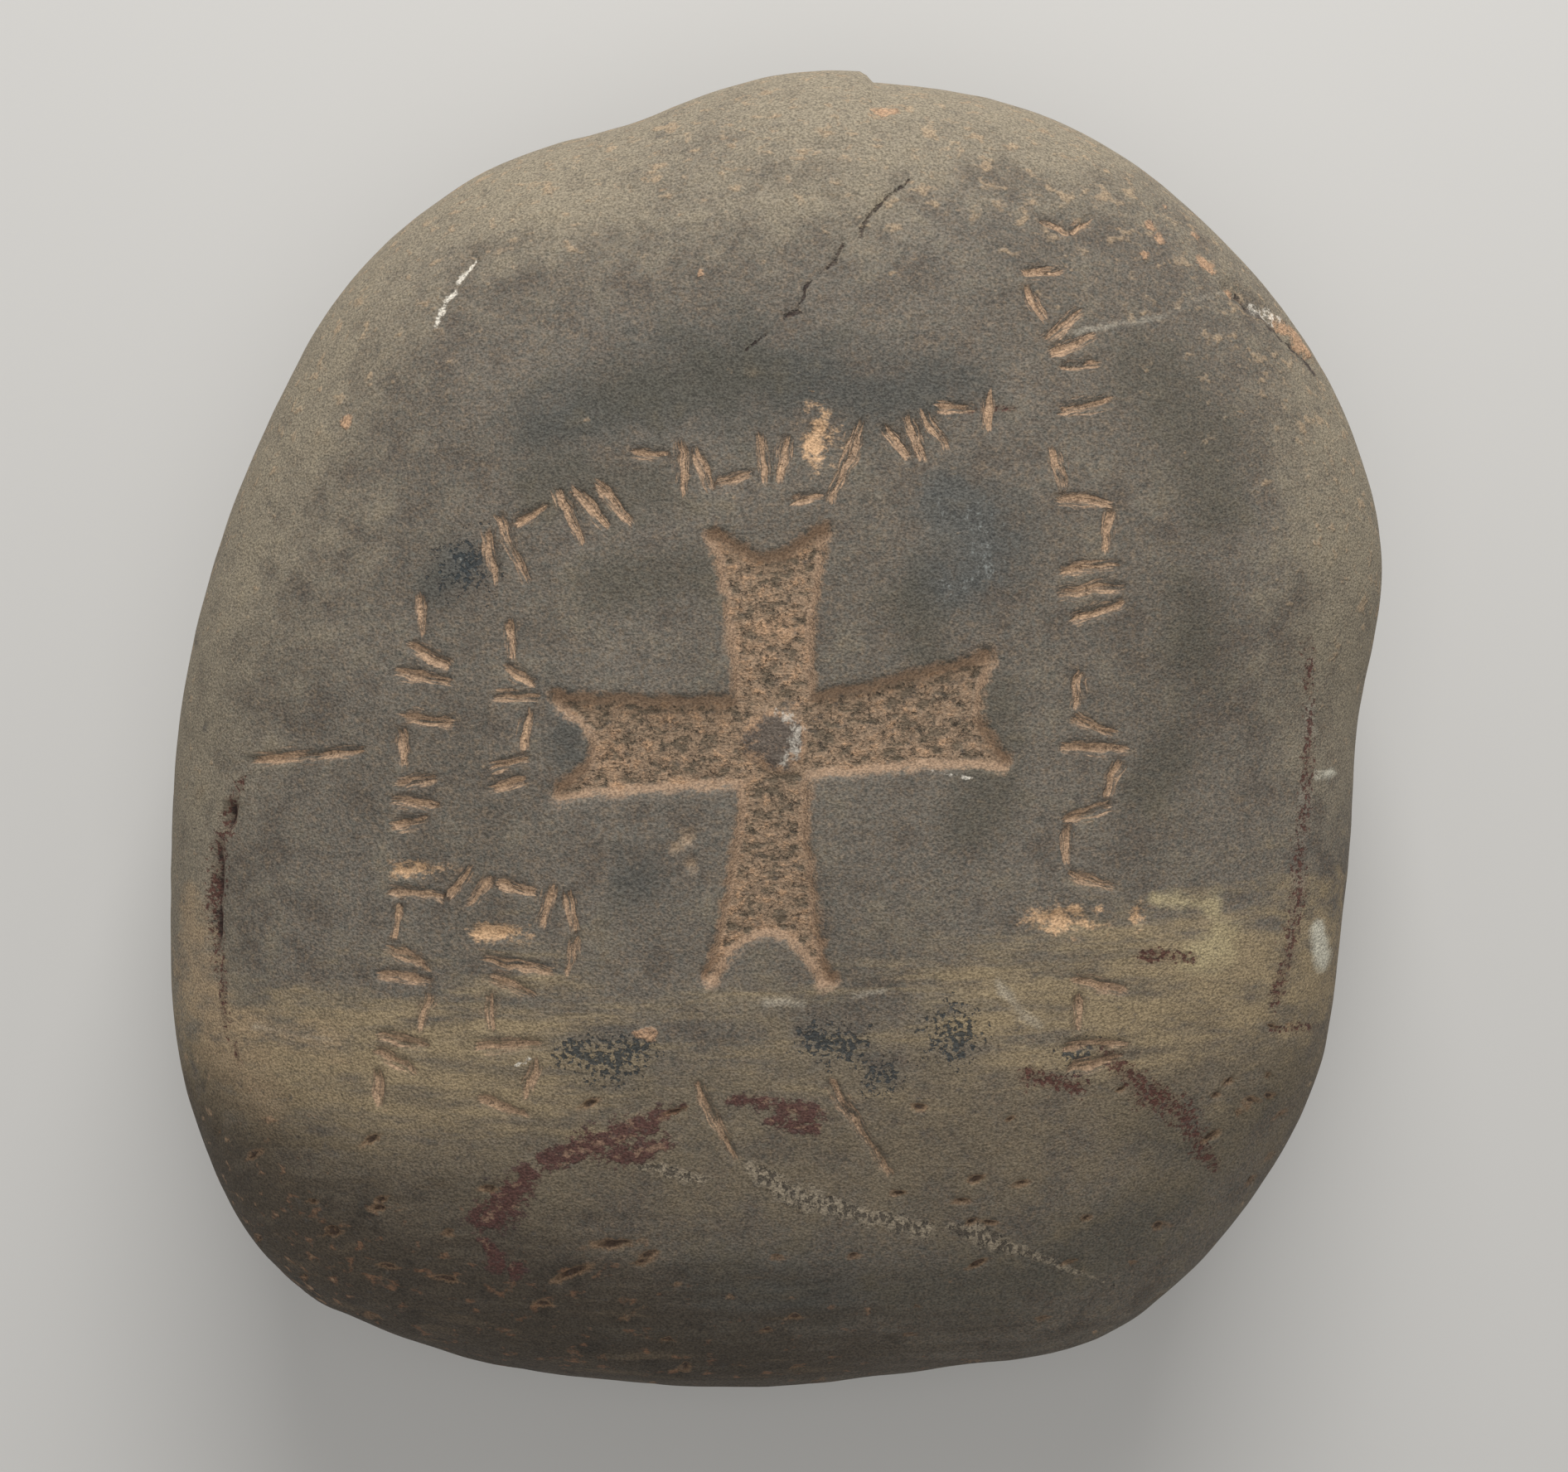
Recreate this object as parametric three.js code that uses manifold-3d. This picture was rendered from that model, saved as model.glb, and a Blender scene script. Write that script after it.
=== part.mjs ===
// A gravestone made from a natural river cobble: a sunk cross with fishtail arms on its face, rows of short
// chiselled strokes round it, and the cracks and the flake scar that the cobble carries.
// Millimetres, +Z up. The cobble lies on its back on its worn foot, so the carved face looks up and the top of the
// gravestone points to +Y. The origin is on the ground, under the middle of the cobble.
import * as THREE from "three";
import { mergeVertices } from "three/addons/utils/BufferGeometryUtils.js";
import Module from "manifold-3d";

// The cobble's overall size.
const stoneWidth = 277;
const stoneHeight = 300;
const stoneThickness = 120;

// The widest contour lies this far above the ground, and this much is worn off the back as a flat foot.
const rimHeight = 57;
const footWear = 2.6;

// How square the section is, from the middle of the face or back to the rim: 2 is an ellipse.
const faceSquareness = 2.5;
const backSquareness = 2.3;

// The outline seen from the front, every 15 degrees anticlockwise from the right-hand side, as shares of an ellipse
// of the cobble's width and height.
const outlineShares = [
  0.959, 1.034, 1.055, 1.049, 1.044, 1.022, 0.998, 0.956, 0.976, 0.98, 0.959, 0.96,
  0.984, 1.034, 1.118, 1.157, 1.087, 1.022, 0.995, 1.004, 1.07, 1.062, 1.034, 0.973,
];

// The squares that the surface is cut into, across, up and through the cobble. The face and back patches reach this
// share of the way to the rim at the middle of their sides, and the side patch joins them. The patches are rounded
// squares: a roundness of 0 leaves them square and 0.5 makes them round.
const facetsAcross = 22;
const facetsUp = 24;
const facetsThrough = 7;
const patchShare = 0.82;
const patchRoundness = 0.38;

// Places on the face are hundredths of the cobble's half width and half height, from its middle. Sizes are in
// millimetres.

// The flake scar at the top of the rim: a step this deep at its start, which fades out along the rim. The copy of the
// cobble that leaves the scar's surface is also thicker by flakeSwell, so that the scar fades out up the face.
const flakeDepth = 2.6;
const flakeSwell = 1.03;
const flakeStart = [15, 100];
const flakeLength = 45;

// The cross. Each arm leans at an angle and reaches out to its two horns, with a notch between them.
const crossPlace = [0.25, -1.75];
const crossDepth = 2.2;
const bossRadius = 6;
const hornTip = 3.2;
const arms = [
  { angle: 7.9, reach: 46.7, root: 18, end: 24.6, notch: 4 },
  { angle: 92.1, reach: 43.6, root: 17, end: 25, notch: 5.2 },
  { angle: 181.7, reach: 46, root: 19, end: 22.8, notch: 7.6 },
  { angle: 268, reach: 50, root: 15, end: 27, notch: 9.9 },
];

// The chiselled strokes. A row is a run of separate strokes, from one point of the face to another. Each letter of
// its cuts is one stroke: a crosses the row, s and b slant forwards and back, and l and r run along its two sides.
const strokeWidth = 2.6;
const strokeDepth = 1.1;
const strokeGap = 0.3;
const rows = [
  { from: [36, 63.5], to: [43, 47.5], breadth: 11, cuts: "slbas" },
  { from: [40.5, 38], to: [43.5, 13.5], breadth: 13, cuts: "lsraab" },
  { from: [43.5, 7.5], to: [42, -22.5], breadth: 13, cuts: "lsarbls" },
  { from: [43.5, -34.5], to: [43.5, -48.5], breadth: 14, cuts: "slab" },
  { from: [-45, 26.5], to: [-24.5, 36], breadth: -13, cuts: "balass" },
  { from: [-21, 38], to: [3, 40], breadth: -10, cuts: "lasrab" },
  { from: [16, 41.5], to: [33, 46.5], breadth: -9, cuts: "saslb" },
  { from: [-54, 18.5], to: [-56.5, 5.5], breadth: 12, cuts: "lsa" },
  { from: [-55.5, 2.5], to: [-58, -14.5], breadth: 10, cuts: "albab" },
  { from: [-57, -21.5], to: [-61.5, -53.5], breadth: 11, cuts: "alsarasl" },
  { from: [-39, 14.5], to: [-42, -9.5], breadth: 9, cuts: "lsarbb" },
  { from: [-47, -18.5], to: [-27.5, -23.5], breadth: -8, cuts: "bblas" },
  { from: [-43, -31], to: [-46, -53.5], breadth: 14, cuts: "aslbrs" },
];

// Single strokes and gouges, each from one point of the face to another.
const gouges = [
  { from: [41, 71.5], to: [45, 70], width: 2 },
  { from: [46, 70.5], to: [49, 72.5], width: 2 },
  { from: [43.5, 44], to: [50, 45.5], width: 2.6 },
  { from: [13, 41.5], to: [8.5, 31], width: 2.8 },
  { from: [2.5, 31], to: [7, 31.7], width: 2 },
  { from: [-29.5, -29], to: [-30.5, -33.5], width: 2.2 },
  { from: [-11.5, -49], to: [-6, -59.5], width: 2.2 },
  { from: [8.5, -49], to: [17.5, -62], width: 2.2 },
  { from: [-80, -4.5], to: [-62, -3], width: 2.4 },
];

// Broader pecked dabs, as centre, half length and half breadth.
const dabs = [
  { at: [43.5, -26.5], half: [6, 2.4] },
  { at: [54.5, -26], half: [1.6, 1.9] },
  { at: [6.5, 39.5], half: [2.6, 5] },
  { at: [-54, -19.5], half: [5, 1.5] },
  { at: [-41.5, -28], half: [6, 1.8] },
  { at: [-12.7, -14.9], half: [1.7, 2] },
  { at: [-12.1, -18.8], half: [1.5, 1.8] },
  { at: [-14.5, -16.5], half: [1.3, 1.6] },
];

// Cracks that open the edge of the face, as a run of points with a width and a depth.
const cracks = [
  { width: 2.2, depth: 3, run: [[68.5, 64.5], [74.5, 61.5], [80, 58.5], [85, 53.5]] },
  { width: 1.8, depth: 2.4, run: [[-81.5, -6.5], [-85, -14], [-87.5, -26.5], [-86, -35.5], [-82.5, -44]] },
];

// Prisms that cut the face run from the rim to above the face.
const prismTop = stoneThickness + 10;

const wasm = await Module();
wasm.setup();

// A three.js geometry as a solid: only positions are kept, and vertices in the same place become one.
function solidOf(geometry) {
  const bare = geometry.clone();
  for (const name of Object.keys(bare.attributes)) {
    if (name !== "position") bare.deleteAttribute(name);
  }
  const merged = mergeVertices(bare, 1e-3);
  return new wasm.Manifold(
    new wasm.Mesh({
      numProp: 3,
      vertProperties: new Float32Array(merged.attributes.position.array),
      triVerts: new Uint32Array(merged.index.array),
    }),
  );
}

// A solid as a three.js geometry.
function geometryOf(solid) {
  const mesh = solid.getMesh();
  const geometry = new THREE.BufferGeometry();
  geometry.setAttribute("position", new THREE.BufferAttribute(mesh.vertProperties, 3));
  geometry.setIndex(new THREE.BufferAttribute(mesh.triVerts, 1));
  geometry.computeVertexNormals();
  return geometry;
}

const joined = (solids) => solids.reduce((whole, solid) => whole.add(solid));

// A place on the face in millimetres.
const onFace = ([x, y]) => [(x / 200) * stoneWidth, (y / 200) * stoneHeight];

// The outline's share at an angle, by a closed Catmull-Rom curve through the listed shares.
function outlineShare(angle) {
  const count = outlineShares.length;
  const turns = angle / (2 * Math.PI);
  const place = (turns - Math.floor(turns)) * count;
  const index = Math.floor(place);
  const f = place - index;
  const [a, b, c, d] = [-1, 0, 1, 2].map((step) => outlineShares[(index + step + count) % count]);
  return 0.5 * (2 * b + (c - a) * f + (2 * a - 5 * b + 4 * c - d) * f * f + (3 * b - a - 3 * c + d) * f ** 3);
}

// A point of the cobble's skin. The angle goes round the outline, and the slope goes from 0 at the middle of the
// face, over a quarter turn at the rim, to a half turn at the middle of the back.
function skinPoint(angle, slope) {
  const squareness = slope < Math.PI / 2 ? faceSquareness : backSquareness;
  const reach = Math.sin(slope) ** (2 / squareness) * outlineShare(angle);
  const rise = Math.abs(Math.cos(slope)) ** (2 / squareness);
  const height =
    slope < Math.PI / 2
      ? rimHeight + (stoneThickness - rimHeight) * rise
      : rimHeight - (rimHeight + footWear) * rise;
  return new THREE.Vector3(
    (reach * Math.cos(angle) * stoneWidth) / 2,
    (reach * Math.sin(angle) * stoneHeight) / 2,
    Math.max(height, 0),
  );
}

// The slope at which the section has come a share of the way from its middle to the rim.
const slopeAt = (share, squareness) => Math.asin(share ** (squareness / 2));

// The whole cobble: a box of squares, rounded so that its top becomes the face, its bottom the back and its sides the
// rim. Each square patch is spread over a rounder one by x = u sqrt(1 - roundness v v), and the same for y.
function cobble() {
  const box = new THREE.BoxGeometry(2, 2, 2, facetsAcross, facetsUp, facetsThrough);
  const place = box.attributes.position;
  for (let i = 0; i < place.count; i++) {
    const [u, v, w] = [place.getX(i), place.getY(i), place.getZ(i)];
    const x = u * Math.sqrt(1 - patchRoundness * v * v);
    const y = v * Math.sqrt(1 - patchRoundness * u * u);
    const out = Math.hypot(x, y) * patchShare;
    const faceSlope = slopeAt(out, faceSquareness);
    const backSlope = Math.PI - slopeAt(out, backSquareness);
    const point = skinPoint(Math.atan2(y, x), THREE.MathUtils.mapLinear(w, 1, -1, faceSlope, backSlope));
    place.setXYZ(i, point.x, point.y, point.z);
  }
  return box;
}

// Stretches and moves the cobble so that it fills its stated width and height about the origin.
function fitted(geometry) {
  geometry.computeBoundingBox();
  const { min, max } = geometry.boundingBox;
  geometry.translate(-(min.x + max.x) / 2, -(min.y + max.y) / 2, 0);
  geometry.scale(stoneWidth / (max.x - min.x), stoneHeight / (max.y - min.y), 1);
  return geometry;
}

// Cuts prisms into the skin to an even depth: what they would take below a copy of the cobble, lowered by that
// depth, stays.
function sunk(solid, skin, prisms, depth) {
  const lowered = solidOf(skin.clone().translate(0, 0, -depth));
  return solid.subtract(joined(prisms).subtract(lowered));
}

// A prism over an outline on the face.
function prismOver(shape) {
  const depth = prismTop - rimHeight;
  const prism = new THREE.ExtrudeGeometry(shape, { depth, bevelEnabled: false, curveSegments: 6 });
  return solidOf(prism.translate(0, 0, rimHeight));
}

// The cross seen from the front. Each arm's sides curve from the corner it shares with its neighbour to a horn, and
// its end curves in to the notch.
function crossShape() {
  const shape = new THREE.Shape();
  const [crossX, crossY] = onFace(crossPlace);
  const at = (angle, along, aside) => {
    const turn = THREE.MathUtils.degToRad(angle);
    return [
      crossX + along * Math.cos(turn) - aside * Math.sin(turn),
      crossY + along * Math.sin(turn) + aside * Math.cos(turn),
    ];
  };
  const corner = (first, second) => {
    const a = at(first.angle, second.root / 2, 0);
    const b = at(second.angle, first.root / 2, 0);
    return [a[0] + b[0] - crossX, a[1] + b[1] - crossY];
  };
  arms.forEach((arm, i) => {
    const before = arms[(i + arms.length - 1) % arms.length];
    const after = arms[(i + 1) % arms.length];
    const point = (along, aside) => at(arm.angle, along, aside);
    const straight = arm.reach * 0.55;
    if (i === 0) shape.moveTo(...corner(before, arm));
    shape.quadraticCurveTo(...point(straight, -arm.root / 2), ...point(arm.reach, -arm.end / 2));
    shape.lineTo(...point(arm.reach, hornTip - arm.end / 2));
    shape.quadraticCurveTo(...point(arm.reach - 2 * arm.notch, 0), ...point(arm.reach, arm.end / 2 - hornTip));
    shape.lineTo(...point(arm.reach, arm.end / 2));
    shape.quadraticCurveTo(...point(straight, arm.root / 2), ...corner(arm, after));
  });
  const boss = new THREE.Path();
  boss.absarc(crossX, crossY, bossRadius, 0, 2 * Math.PI, true);
  shape.holes.push(boss);
  return shape;
}

// A hand's unevenness, the same each time for the same stroke: from -1 to 1.
function sway(number) {
  const wave = Math.sin(number * 12.9898) * 43758.5453;
  return 2 * (wave - Math.floor(wave)) - 1;
}

// One chisel stroke: it widens to a third of its length and thins to its end.
function strokeShape(from, to, width) {
  const start = new THREE.Vector2(...from);
  const end = new THREE.Vector2(...to);
  const along = end.clone().sub(start);
  const aside = new THREE.Vector2(-along.y, along.x).normalize().multiplyScalar(width / 2);
  const point = (share, breadth) => start.clone().addScaledVector(along, share).addScaledVector(aside, breadth);
  return new THREE.Shape([
    point(0, -0.5),
    point(0.35, -1),
    point(1, -0.35),
    point(1, 0.35),
    point(0.35, 1),
    point(0, 0.5),
  ]);
}

// A row's strokes, as pairs of points. The strokes follow each other along the row, each in a stretch of its own with
// a gap after it, so that no two touch. A negative breadth lays the row to the right of the way it runs. Each kind of
// cut has the steps that it takes, and its two ends, as shares along its stretch and across the row.
const cutKinds = {
  a: { steps: 1, start: [0.5, 0.05], end: [0.5, 0.95] },
  s: { steps: 1, start: [0.2, 0.15], end: [0.95, 0.85] },
  b: { steps: 1, start: [0.8, 0.15], end: [0.05, 0.85] },
  l: { steps: 2, start: [0.05, 0.1], end: [0.9, 0.2] },
  r: { steps: 2, start: [0.05, 0.9], end: [0.9, 0.8] },
};
function rowStrokes(row, number) {
  const from = new THREE.Vector2(...onFace(row.from));
  const along = new THREE.Vector2(...onFace(row.to)).sub(from);
  const aside = new THREE.Vector2(-along.y, along.x).normalize().multiplyScalar(row.breadth);
  const kinds = [...row.cuts].map((letter) => cutKinds[letter]);
  const steps = kinds.reduce((sum, kind) => sum + kind.steps, 0);
  let begun = 0;
  return kinds.map((kind, i) => {
    const stretch = kind.steps - strokeGap;
    const place = ([share, breadth], uneven) =>
      from
        .clone()
        .addScaledVector(along, (begun + stretch * share) / steps)
        .addScaledVector(aside, breadth + 0.08 * uneven)
        .toArray();
    const stroke = [place(kind.start, sway(10 * number + i)), place(kind.end, sway(20 * number + i))];
    begun += kind.steps;
    return stroke;
  });
}

function carved(skin) {
  const strokes = rows.flatMap((row, i) => rowStrokes(row, i + 1));
  const strokePrisms = strokes.map(([from, to]) => prismOver(strokeShape(from, to, strokeWidth)));
  const gougePrisms = gouges.map(({ from, to, width }) =>
    prismOver(strokeShape(onFace(from), onFace(to), width)),
  );
  const dabPrisms = dabs.map(({ at, half }) => {
    const shape = new THREE.Shape();
    shape.absellipse(...onFace(at), ...half, 0, 2 * Math.PI);
    return prismOver(new THREE.Shape(shape.getPoints(4)));
  });
  let solid = sunk(solidOf(skin), skin, [prismOver(crossShape())], crossDepth);
  solid = sunk(solid, skin, [...strokePrisms, ...gougePrisms, ...dabPrisms], strokeDepth);
  for (const { width, depth, run } of cracks) {
    const pieces = run.slice(1).map((to, i) => prismOver(strokeShape(onFace(run[i]), onFace(to), width)));
    solid = sunk(solid, skin, pieces, depth);
  }
  return solid.subtract(flake(skin));
}

// What the flake took off: the cobble outside a thicker copy of it, turned about the far end of the scar.
function flake(skin) {
  const [start, top] = onFace(flakeStart);
  const end = start + flakeLength;
  const block = new THREE.BoxGeometry(flakeLength, top, 2 * prismTop);
  block.translate((start + end) / 2, top, 0);
  const turned = skin.clone().translate(-end, -top, -rimHeight).scale(1, 1, flakeSwell);
  turned.rotateZ(flakeDepth / flakeLength).translate(end, top, rimHeight);
  return solidOf(block).subtract(solidOf(turned));
}

const gravestone = new THREE.Mesh(
  geometryOf(carved(fitted(cobble()))),
  new THREE.MeshStandardMaterial({ name: "cobble stone", color: 0x6a6354, roughness: 0.85, metalness: 0 }),
);
gravestone.name = "gravestone";

const part = new THREE.Group();
part.add(gravestone);

export default part;
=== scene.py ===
"""The looks of a gravestone made from a river cobble: its worn skin, the pecked cross, the chiselled
strokes and the stains, cracks and nicks of its face. Shapes are worked out in millimetres and put into
the mesh in metres."""

import itertools
import math

import bpy
import numpy as np
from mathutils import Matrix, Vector


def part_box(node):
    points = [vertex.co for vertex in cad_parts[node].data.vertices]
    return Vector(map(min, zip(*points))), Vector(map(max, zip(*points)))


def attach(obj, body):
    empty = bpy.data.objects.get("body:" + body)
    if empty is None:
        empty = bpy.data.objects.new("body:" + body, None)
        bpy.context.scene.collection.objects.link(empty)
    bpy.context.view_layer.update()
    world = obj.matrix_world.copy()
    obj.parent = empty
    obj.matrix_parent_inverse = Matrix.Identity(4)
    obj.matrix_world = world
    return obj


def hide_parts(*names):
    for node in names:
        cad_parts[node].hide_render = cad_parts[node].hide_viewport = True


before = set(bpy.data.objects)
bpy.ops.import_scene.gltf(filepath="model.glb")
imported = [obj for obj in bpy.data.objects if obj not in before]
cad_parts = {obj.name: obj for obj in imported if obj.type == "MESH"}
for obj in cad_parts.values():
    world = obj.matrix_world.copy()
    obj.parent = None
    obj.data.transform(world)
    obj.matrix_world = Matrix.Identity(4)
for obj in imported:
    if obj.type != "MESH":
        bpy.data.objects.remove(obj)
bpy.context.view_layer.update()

METRE = 1000.0

# Stands in for 0 where something is divided by a length.
TINY = 1e-9

# The cobble's size from the frame, the height of its widest contour, and how much its back is worn flat.
STONE_LOW, STONE_HIGH = (np.array(corner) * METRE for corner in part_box("gravestone"))
HALF_WIDTH, HALF_HEIGHT = (STONE_HIGH[:2] - STONE_LOW[:2]) / 2
THICKNESS = STONE_HIGH[2]
RIM_HEIGHT = 57.0
FOOT_WEAR = 2.6

# How square the section is, from the middle of the face or back to the rim: 2 is an ellipse.
FACE_SQUARENESS, BACK_SQUARENESS = 2.5, 2.3

# The outline from the front, every 15 degrees anticlockwise from the right, as shares of an ellipse.
OUTLINE = np.array([
    0.959, 1.034, 1.055, 1.049, 1.044, 1.022, 0.998, 0.956, 0.976, 0.98, 0.959, 0.96,
    0.984, 1.034, 1.118, 1.157, 1.087, 1.022, 0.995, 1.004, 1.07, 1.062, 1.034, 0.973,
])

# The face is a patch of squares this many across, which reaches this share of the way to the rim. Rows of
# the side follow it, and two of their steps halve the squares on the way to the plainer back.
FACE_SQUARES = 272
PATCH_SHARE, PATCH_ROUNDNESS = 0.78, 0.38
FINE_ROWS, MIDDLE_ROWS, COARSE_ROWS = 3, 26, 6

# A waver is a random swell, with its height and its length in millimetres. Three of them swell the skin, and
# two shift the carving.
SKIN_SWELLS = [(0.5, 38), (0.22, 14), (0.1, 5)]
COARSE_WAVER, FINE_WAVER = (0.5, 3.6), (0.4, 1.8)

# Low ridges at the lower edge begin between these shares of the half height, and are drawn out across it.
RIDGES_FROM, RIDGE_WAVER, RIDGES_DRAWN_OUT = (0.7, 0.95), (0.45, 4.5), (0.22, 1, 1)

# The skin stays where it is at the flat foot, and moves more and more between these heights above it.
FOOT_FADE = (0, 6)

# The flake scar at the top of the rim, as in the solid, and its ragged step.
FLAKE_START, FLAKE_LENGTH, FLAKE_DEPTH, FLAKE_SWELL = 0.15 * HALF_WIDTH, 45.0, 2.6, 0.03
FLAKE_WAVER, FLAKE_STEP = (1.2, 6), (-0.6, 0.8)

# The cross. Each arm leans at an angle and reaches out to its two horns, with a notch between them. An
# arm's sides start out straight for a share of its reach. The boss in the middle was left standing part
# of the way up.
CROSS_PLACE = (0.25, -1.75)
CROSS_DEPTH, STRAIGHT_SHARE, HORN_TIP, HORN_ROUNDING = 2.2, 0.55, 3.2, 2.2
BOSS_RADIUS, BOSS_SHARE, BOSS_WAVER = 6.0, 0.55, (0.9, 5)
ARMS = [
    dict(angle=7.9, reach=46.7, root=18, end=24.6, notch=4),
    dict(angle=92.1, reach=43.6, root=17, end=25, notch=5.2),
    dict(angle=181.7, reach=46, root=19, end=22.8, notch=7.6),
    dict(angle=268, reach=50, root=15, end=27, notch=9.9),
]

# The iron point left pecks this far apart and this deep in the cross, about a middle depth that lies at
# this share of the spacing from a peck. The floor wavers under them.
PECK_SPACING, PECK_DEPTH, PECK_MIDDLE, FLOOR_WAVER = 2.1, 0.7, 0.55, (0.25, 4)

# A cut goes from nothing to its full depth between these values of its field, which for the cross and its
# boss is the distance inside the edge in millimetres, and for the rest is 0 at the edge and 1 in the
# middle.
CROSS_WALL, BOSS_WALL, STROKE_WALL, DAB_WALL = (-0.6, 1.7), (-2.4, 3.0), (-0.3, 0.8), (-0.1, 0.5)
CHIP_WALL, RED_CRACK_WALL, THIN_CRACK_WALL, SLIT_WALL = (-0.4, 0.9), (-0.3, 0.9), (-0.8, 0.6), (-0.2, 0.7)
CHIP_DEPTH, RED_CRACK_DEPTH, THIN_CRACK_DEPTH, SLIT_DEPTH = 2.2, 2.2, 0.5, 0.9

# The rough floor of the cross begins between these distances inside its edge, behind a smoother border.
CROSS_BORDER = (0.9, 2.4)

# The depth's share that each cut has everywhere, and how the rest comes and goes.
STROKE_EVENNESS, STROKE_WAVER = 0.9, (0.25, 2.5)
DAB_EVENNESS, DAB_PECKS = 0.75, 0.6
CHIP_EVENNESS, CHIP_WAVER = 0.7, (0.6, 2.5)

# A field's values are kept in this range, and the lower one stands for far outside a mark.
FIELD_RANGE = (-3.0, 4.0)

# Places on the face are hundredths of the cobble's half width and half height. A row of strokes runs from
# one place to another, with its breadth and a letter for each cut: a crosses the row, s and b slant
# forwards and back, and l and r run along its sides. Each kind has the steps that it takes, and its ends
# along its stretch and across the row. The gap after a cut is a share of a step, and the hand strays by a
# share of the breadth.
STROKE_WIDTH, STROKE_DEPTH, STROKE_GAP, HAND_SWAY = 2.6, 1.1, 0.3, 0.08
CUT_KINDS = {
    "a": (1, (0.5, 0.05), (0.5, 0.95)),
    "s": (1, (0.2, 0.15), (0.95, 0.85)),
    "b": (1, (0.8, 0.15), (0.05, 0.85)),
    "l": (2, (0.05, 0.1), (0.9, 0.2)),
    "r": (2, (0.05, 0.9), (0.9, 0.8)),
}
ROWS = [
    ((36, 63.5), (43, 47.5), 11, "slbas"),
    ((40.5, 38), (43.5, 13.5), 13, "lsraab"),
    ((43.5, 7.5), (42, -22.5), 13, "lsarbls"),
    ((43.5, -34.5), (43.5, -48.5), 14, "slab"),
    ((-45, 26.5), (-24.5, 36), -13, "balass"),
    ((-21, 38), (3, 40), -10, "lasrab"),
    ((16, 41.5), (33, 46.5), -9, "saslb"),
    ((-54, 18.5), (-56.5, 5.5), 12, "lsa"),
    ((-55.5, 2.5), (-58, -14.5), 10, "albab"),
    ((-57, -21.5), (-61.5, -53.5), 11, "alsarasl"),
    ((-39.5, 14.5), (-42.5, -9.5), 8, "lsarbb"),
    ((-47, -18.5), (-27.5, -23.5), -8, "bblas"),
    ((-43, -31), (-46, -53.5), 14, "aslbrs"),
]

# Single strokes and gouges, each from one place to another with its width in millimetres.
GOUGES = [
    ((41, 71.5), (45, 70), 2),
    ((46, 70.5), (49, 72.5), 2),
    ((43.5, 44), (50, 45.5), 2.6),
    ((13, 41.5), (8.5, 31), 2.8),
    ((2.5, 31), (7, 31.7), 2),
    ((-29.5, -29), (-30.5, -33.5), 2.2),
    ((-11.5, -49), (-6, -59.5), 2.2),
    ((8.5, -49), (17.5, -62), 2.2),
    ((-80, -4.5), (-62, -3), 2.4),
]

# A stroke's width as shares of its full width, at places along it. Its fibres are read from the noise
# this many millimetres beyond those of the stroke before it.
STROKE_TAPER = ([0, 0.2, 1], [0.7, 1, 0.6])
FIBRE_STEP = 9.0

# Broad pecked dabs and small vague pits, each with its half length and half breadth in millimetres.
DABS = [
    ((43.5, -26.5), (6, 2.4)),
    ((54.5, -26), (1.6, 1.9)),
    ((6.5, 39.5), (2.6, 5)),
    ((-54, -19.5), (5, 1.5)),
    ((-41.5, -28), (6, 1.8)),
]
PITS = [
    ((-12.7, -14.9), (1.7, 2)),
    ((-12.1, -18.8), (1.5, 1.8)),
    ((-14.5, -16.5), (1.3, 1.6)),
]

# Marks on the face: runs of places, each with the mark's half width there in millimetres.
CHIP = [[(70.7, 63.9, 1.3), (74.2, 62.1, 2.4), (77, 60.3, 2.8), (80.4, 58.2, 2.2), (85.5, 54.1, 1.2)]]
CHIP_EDGE = [[(73, 62.8, 0.9), (77.7, 59.2, 1.4), (82.2, 56, 1.4), (84.6, 53.4, 1.3), (86.3, 51, 1)]]
RED_CRACK = [[(-84, -11, 0.6), (-86, -17, 1.3), (-87.5, -26.5, 1.2), (-86, -35.5, 0.7)]]
LONG_CRACK = [
    [(28, 84, 0.25), (22.5, 79, 0.3), (19, 76, 0.35), (16.5, 74, 0.4), (14, 71, 0.6), (13, 68.5, 0.6)],
    [(10.5, 67.5, 0.45), (9.5, 65, 0.5), (7.5, 63.5, 0.4), (4.8, 61, 0.35), (4, 57.5, 0.6),
     (1.5, 56.5, 0.55)],
    [(-1, 54.5, 0.3), (-4.5, 52, 0.25)],
]
WHITE_CRACK = [[(-46, 66.5, 0.6), (-49, 63, 1.1), (-51, 59, 1.1), (-52, 57, 0.8)]]
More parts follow.
